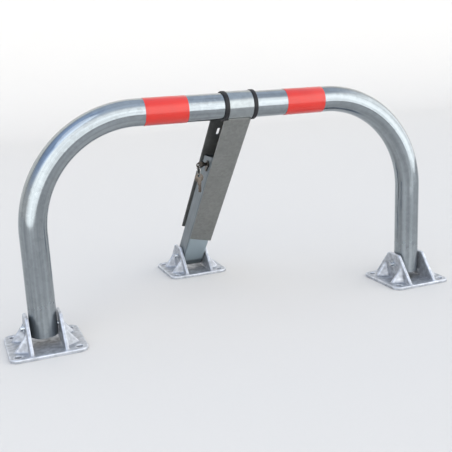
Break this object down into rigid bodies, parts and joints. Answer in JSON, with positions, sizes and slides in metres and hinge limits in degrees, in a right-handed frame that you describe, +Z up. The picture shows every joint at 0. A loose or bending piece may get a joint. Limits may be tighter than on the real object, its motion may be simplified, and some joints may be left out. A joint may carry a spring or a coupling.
{
  "type": "folding parking barrier",
  "caption": "Folding parking barrier: a bent tube arch hinged on cast feet and held upright by a telescopic strut with a key lock.",
  "frame": {"origin": "on the ground, in the middle of the three feet's outline", "axes": "+X along the arch, +Y to the rear foot, +Z up"},
  "size_m": [1.116, 0.538, 0.5242],
  "materials": {
    "galvanised_tube": "bright galvanised",
    "galvanised_sheet": "dull galvanised",
    "cast_aluminium": "rough cast",
    "zinc_plated_steel": "zinc plated",
    "black_rubber": "matt",
    "red_reflective_tape": "glossy retroreflective film",
    "nickel_brass": "nickel plated",
    "spring_steel": "bright wire"
  },
  "bodies": {
    "feet": {"front_foot_left": "cast_aluminium", "front_foot_right": "cast_aluminium", "rear_foot": "cast_aluminium", "front_hinge_pin_left": "zinc_plated_steel", "front_hinge_pin_right": "zinc_plated_steel", "rear_hinge_pin": "zinc_plated_steel", "pin_washers": "zinc_plated_steel", "split_pins": "zinc_plated_steel"},
    "arch": {"arch_tube": "galvanised_tube", "reflective_band_left": "red_reflective_tape", "reflective_band_right": "red_reflective_tape", "stop_ring_left": "black_rubber", "stop_ring_right": "black_rubber"},
    "strut_outer": {"collar_sleeve": "galvanised_sheet", "strut_channel": "galvanised_sheet"},
    "strut_inner": {"inner_tube": "galvanised_sheet", "lock_cylinder": "nickel_brass", "cylinder_screw": "zinc_plated_steel", "bolt_guide": "galvanised_sheet"},
    "lock_core": {"lock_plug": "nickel_brass", "lock_cam": "zinc_plated_steel", "lock_key": "nickel_brass"},
    "bolt": {"lock_bolt": "zinc_plated_steel"},
    "ring": {"key_ring": "spring_steel"},
    "spare": {"spare_key": "nickel_brass"}
  },
  "joints": [
    {"name": "arch_fold", "type": "hinge", "parent": "feet", "child": "arch", "pos_m": [0, -0.19, 0.046], "axis": [1, 0, 0], "range_deg": [0, 90]},
    {"name": "strut_head_turn", "type": "hinge", "parent": "arch", "child": "strut_outer", "pos_m": [0, -0.19, 0.49], "axis": [1, 0, 0], "range_deg": [-40.61, 0]},
    {"name": "strut_foot_turn", "type": "hinge", "parent": "feet", "child": "strut_inner", "pos_m": [0, 0.19, 0.046], "axis": [1, 0, 0], "range_deg": [0, 49.49]},
    {"name": "key_turn", "type": "hinge", "parent": "strut_inner", "child": "lock_core", "pos_m": [0, -0.07617, 0.34469], "axis": [1, 0, 0], "range_deg": [0, 46.1]},
    {"name": "bolt_slide", "type": "slide", "parent": "strut_inner", "child": "bolt", "axis": [0, 0.7597, 0.6502], "range_m": [0, 0.01407]},
    {"name": "ring_swing", "type": "hinge", "parent": "lock_core", "child": "ring", "pos_m": [-0.056, -0.07617, 0.34469], "axis": [1, 0, 0], "range_deg": [-10, 60]},
    {"name": "spare_key_swing", "type": "hinge", "parent": "ring", "child": "spare", "pos_m": [-0.056, -0.07617, 0.32069], "axis": [0, 1, 0], "range_deg": [-10, 45]}
  ],
  "couplings": [
    {"joint": "strut_head_turn", "follows": "arch_fold", "ratio": -0.45065},
    {"joint": "strut_foot_turn", "follows": "arch_fold", "ratio": 0.54935},
    {"joint": "key_turn", "follows": "bolt_slide", "rad_per_m": 57.077}
  ]
}
